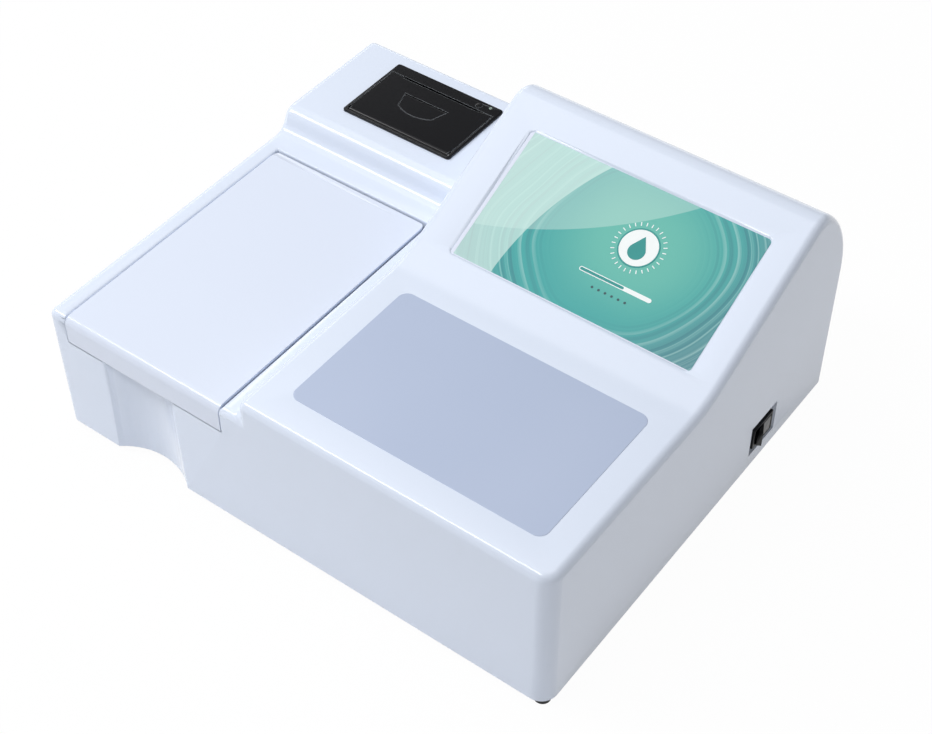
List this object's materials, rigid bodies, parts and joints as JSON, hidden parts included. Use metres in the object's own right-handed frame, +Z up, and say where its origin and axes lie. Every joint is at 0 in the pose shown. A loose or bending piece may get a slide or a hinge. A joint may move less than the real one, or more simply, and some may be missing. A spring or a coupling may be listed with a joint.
{
  "type": "water quality analyzer",
  "caption": "Bench-top photometric analyzer with a flush hinged sample lid, a small panel printer, a sloping touch screen and a rocker power switch.",
  "frame": {"origin": "centre of the footprint at table level, under the feet", "axes": "+X to the operator's right, +Y to the back, +Z up"},
  "size_m": [0.3433, 0.2937, 0.1556],
  "materials": {
    "case_plastic": "fine-grained moulded ABS, satin",
    "lid_plastic": "fine-grained moulded ABS, satin",
    "base_plastic": "matte moulded ABS",
    "foot_rubber": "matte",
    "label_film": "matte printed overlay film",
    "screen_glass": "glossy touch glass",
    "dark_plastic": "matte",
    "zinc_steel": "zinc-plated sheet",
    "anodised_block": "black anodised",
    "tray_plastic": "matte",
    "seal_foam": "closed-cell foam",
    "printer_plastic": "satin",
    "platen_rubber": "smooth",
    "bright_steel": "bright",
    "thermal_paper": "smooth paper",
    "core_plastic": "plain",
    "head_aluminium": "milled",
    "board_laminate": "solder mask",
    "lens_plastic": "clear moulded",
    "switch_plastic": "satin",
    "rocker_plastic": "glossy",
    "inlet_plastic": "satin",
    "brass_standoff": "turned",
    "screw_steel": "zinc plated"
  },
  "bodies": {
    "case": {"upper_housing": "case_plastic", "base_plate": "base_plastic", "rubber_feet": "foot_rubber", "foot_screws": "screw_steel", "label_panel": "label_film", "touch_panel": "screen_glass", "display_module": "dark_plastic", "display_bracket": "zinc_steel", "display_screws": "screw_steel", "cuvette_block": "anodised_block", "sample_tray": "tray_plastic", "tray_collar": "tray_plastic", "tray_screws": "screw_steel", "led_board": "board_laminate", "led_lamps": "lens_plastic", "detector_board": "board_laminate", "photodiodes": "bright_steel", "board_spacers": "bright_steel", "hinge_pins": "bright_steel", "printer_bezel": "printer_plastic", "printer_clips": "bright_steel", "door_pins": "bright_steel", "print_head": "head_aluminium", "feed_motor": "zinc_steel", "tear_bar": "bright_steel", "key_board": "board_laminate", "status_lens": "lens_plastic", "switch_body": "switch_plastic", "power_inlet": "inlet_plastic", "inlet_screws": "screw_steel", "usb_sockets": "bright_steel", "main_board": "board_laminate", "board_standoffs": "brass_standoff", "power_supply": "zinc_steel"},
    "lid": {"sample_lid": "lid_plastic", "lid_collar": "lid_plastic", "lid_seal": "seal_foam"},
    "printer_door": {"printer_door": "printer_plastic", "latch_pin": "bright_steel"},
    "latch": {"latch_lever": "printer_plastic"},
    "platen": {"platen_roller": "platen_rubber", "platen_shaft": "bright_steel"},
    "roll": {"paper_roll": "thermal_paper", "roll_core": "core_plastic"},
    "feed_key": {"feed_button": "printer_plastic"},
    "rocker": {"switch_rocker": "rocker_plastic"}
  },
  "joints": [
    {"name": "lid_hinge", "type": "hinge", "parent": "case", "child": "lid", "pos_m": [-0.1002, 0.0224, 0.087], "axis": [-1, 0, 0], "range_deg": [0, 95]},
    {"name": "printer_door_hinge", "type": "hinge", "parent": "case", "child": "printer_door", "pos_m": [-0.0982, 0.081, 0.1059], "axis": [1, 0, 0], "range_deg": [0, 88]},
    {"name": "latch_tilt", "type": "hinge", "parent": "printer_door", "child": "latch", "pos_m": [-0.1004, 0.1094, 0.1071], "axis": [-1, 0, 0], "range_deg": [0, 30], "stiffness_Nm_per_rad": 0.01, "springref_deg": -11.46},
    {"name": "roll_spin", "type": "hinge", "parent": "case", "child": "roll", "pos_m": [-0.0982, 0.098, 0.086], "axis": [1, 0, 0], "continuous": true},
    {"name": "platen_spin", "type": "hinge", "parent": "printer_door", "child": "platen", "pos_m": [-0.0982, 0.1185, 0.1017], "axis": [1, 0, 0], "continuous": true},
    {"name": "feed_button_press", "type": "slide", "parent": "case", "child": "feed_key", "axis": [0, 0, -1], "range_m": [0, 0.0008], "stiffness_N_per_m": 200, "springref_m": -0.001},
    {"name": "rocker_tilt", "type": "hinge", "parent": "case", "child": "rocker", "pos_m": [0.1683, 0.071, 0.0235], "axis": [0, 0, -1], "range_deg": [0, 26]}
  ],
  "couplings": [
    {"joint": "platen_spin", "follows": "roll_spin", "ratio": 3.625}
  ]
}
